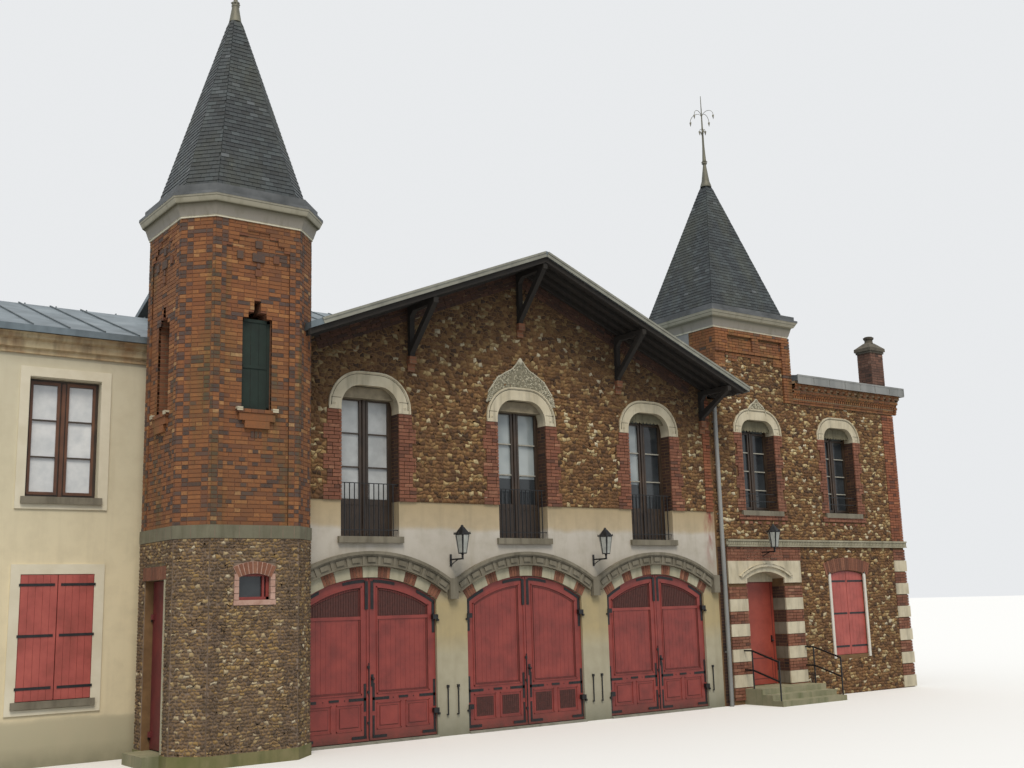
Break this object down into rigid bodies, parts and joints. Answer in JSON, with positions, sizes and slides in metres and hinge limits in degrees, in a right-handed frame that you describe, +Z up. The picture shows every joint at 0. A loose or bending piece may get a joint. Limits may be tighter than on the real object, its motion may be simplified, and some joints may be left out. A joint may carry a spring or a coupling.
{
  "type": "chateau",
  "caption": "Small chateau with a gabled coach house, a cut-corner stair tower, a square slate-roofed tower and low side wings",
  "frame": {"origin": "on the ground under the middle coach door's threshold, in the plane of the front wall", "axes": "+X along the front towards the square tower, +Y into the building, +Z up"},
  "size_m": [23.41, 13.08, 15.85],
  "materials": {
    "rubble_stone": "rough brown and cream rubble in brown mortar",
    "dressed_stone": "matt dressed limestone",
    "grey_stone": "worn grey stone",
    "red_brick": "matt orange red brick",
    "render": "matt lime render",
    "slate": "satin natural slate",
    "roof_covering": "dull grey zinc sheet with standing seams",
    "zinc": "dull weathered zinc",
    "red_painted_wood": "boards in satin brick red oil paint",
    "painted_wood": "joinery in very dark brown oil paint",
    "dark_timber": "dark stained timber",
    "floor_timber": "sawn timber",
    "glass": "clear window glass",
    "iron": "satin black iron"
  },
  "bodies": {
    "building": {"arch_rings": "dressed_stone", "arch_wall": "render", "bracket_corbels": "red_brick", "central_rear_wall": "rubble_stone", "central_roof": "roof_covering", "central_side_walls": "rubble_stone", "chimney": "red_brick", "coach_piers": "render", "door_pins": "iron", "downpipe": "zinc", "entrance_door_frame": "painted_wood", "entrance_head": "dressed_stone", "entrance_steps": "grey_stone", "entrance_surround": "dressed_stone", "finials": "zinc", "gable_wall": "rubble_stone", "hood_moulds": "dressed_stone", "iron_rails": "iron", "left_eaves": "render", "left_wing_front": "render", "left_wing_roof": "zinc", "left_wing_walls": "render", "right_cornice": "red_brick", "right_wing_lower": "rubble_stone", "right_wing_roof": "zinc", "right_wing_upper": "rubble_stone", "right_wing_walls": "rubble_stone", "roof_brackets": "dark_timber", "roof_rafters": "dark_timber", "shutters": "red_painted_wood", "square_spire": "slate", "square_tower": "red_brick", "string_course": "dressed_stone", "threshold_stones": "grey_stone", "tower_band": "dressed_stone", "tower_base_back": "rubble_stone", "tower_base_front": "rubble_stone", "tower_cornices": "dressed_stone", "tower_door_head": "rubble_stone", "tower_door_jambs": "rubble_stone", "tower_gutters": "zinc", "tower_plinth": "grey_stone", "tower_shaft": "red_brick", "tower_spire": "slate", "upper_floors": "floor_timber", "wall_lanterns": "iron", "window_crests": "dressed_stone", "window_frames": "painted_wood", "window_glass": "glass", "window_heads": "dressed_stone", "window_sills": "dressed_stone"},
    "coach_door_1_left": {"coach_door_1_left": "red_painted_wood"},
    "coach_door_1_right": {"coach_door_1_right": "red_painted_wood"},
    "coach_door_2_left": {"coach_door_2_left": "red_painted_wood"},
    "coach_door_2_right": {"coach_door_2_right": "red_painted_wood"},
    "coach_door_3_left": {"coach_door_3_left": "red_painted_wood"},
    "coach_door_3_right": {"coach_door_3_right": "red_painted_wood"},
    "tower_door": {"tower_door": "red_painted_wood"},
    "entrance_door": {"entrance_door": "red_painted_wood"}
  },
  "joints": [
    {"name": "coach_door_1_left_hinge", "type": "hinge", "parent": "building", "child": "coach_door_1_left", "pos_m": [-5.126, -0.024, 0.5], "axis": [0, 0, -1], "range_deg": [0, 90]},
    {"name": "coach_door_1_right_hinge", "type": "hinge", "parent": "building", "child": "coach_door_1_right", "pos_m": [-2.186, -0.024, 0.5], "axis": [0, 0, 1], "range_deg": [0, 90]},
    {"name": "coach_door_2_left_hinge", "type": "hinge", "parent": "building", "child": "coach_door_2_left", "pos_m": [-1.47, -0.024, 0.5], "axis": [0, 0, -1], "range_deg": [0, 90]},
    {"name": "coach_door_2_right_hinge", "type": "hinge", "parent": "building", "child": "coach_door_2_right", "pos_m": [1.47, -0.024, 0.5], "axis": [0, 0, 1], "range_deg": [0, 90]},
    {"name": "coach_door_3_left_hinge", "type": "hinge", "parent": "building", "child": "coach_door_3_left", "pos_m": [2.186, -0.024, 0.5], "axis": [0, 0, -1], "range_deg": [0, 90]},
    {"name": "coach_door_3_right_hinge", "type": "hinge", "parent": "building", "child": "coach_door_3_right", "pos_m": [5.126, -0.024, 0.5], "axis": [0, 0, 1], "range_deg": [0, 90]},
    {"name": "tower_door_hinge", "type": "hinge", "parent": "building", "child": "tower_door", "pos_m": [-7.534, 0.728, 0.45], "axis": [0, 0, -1], "range_deg": [0, 90]},
    {"name": "entrance_door_hinge", "type": "hinge", "parent": "building", "child": "entrance_door", "pos_m": [6.65, 0.454, 0.65], "axis": [0, 0, 1], "range_deg": [0, 90]}
  ]
}
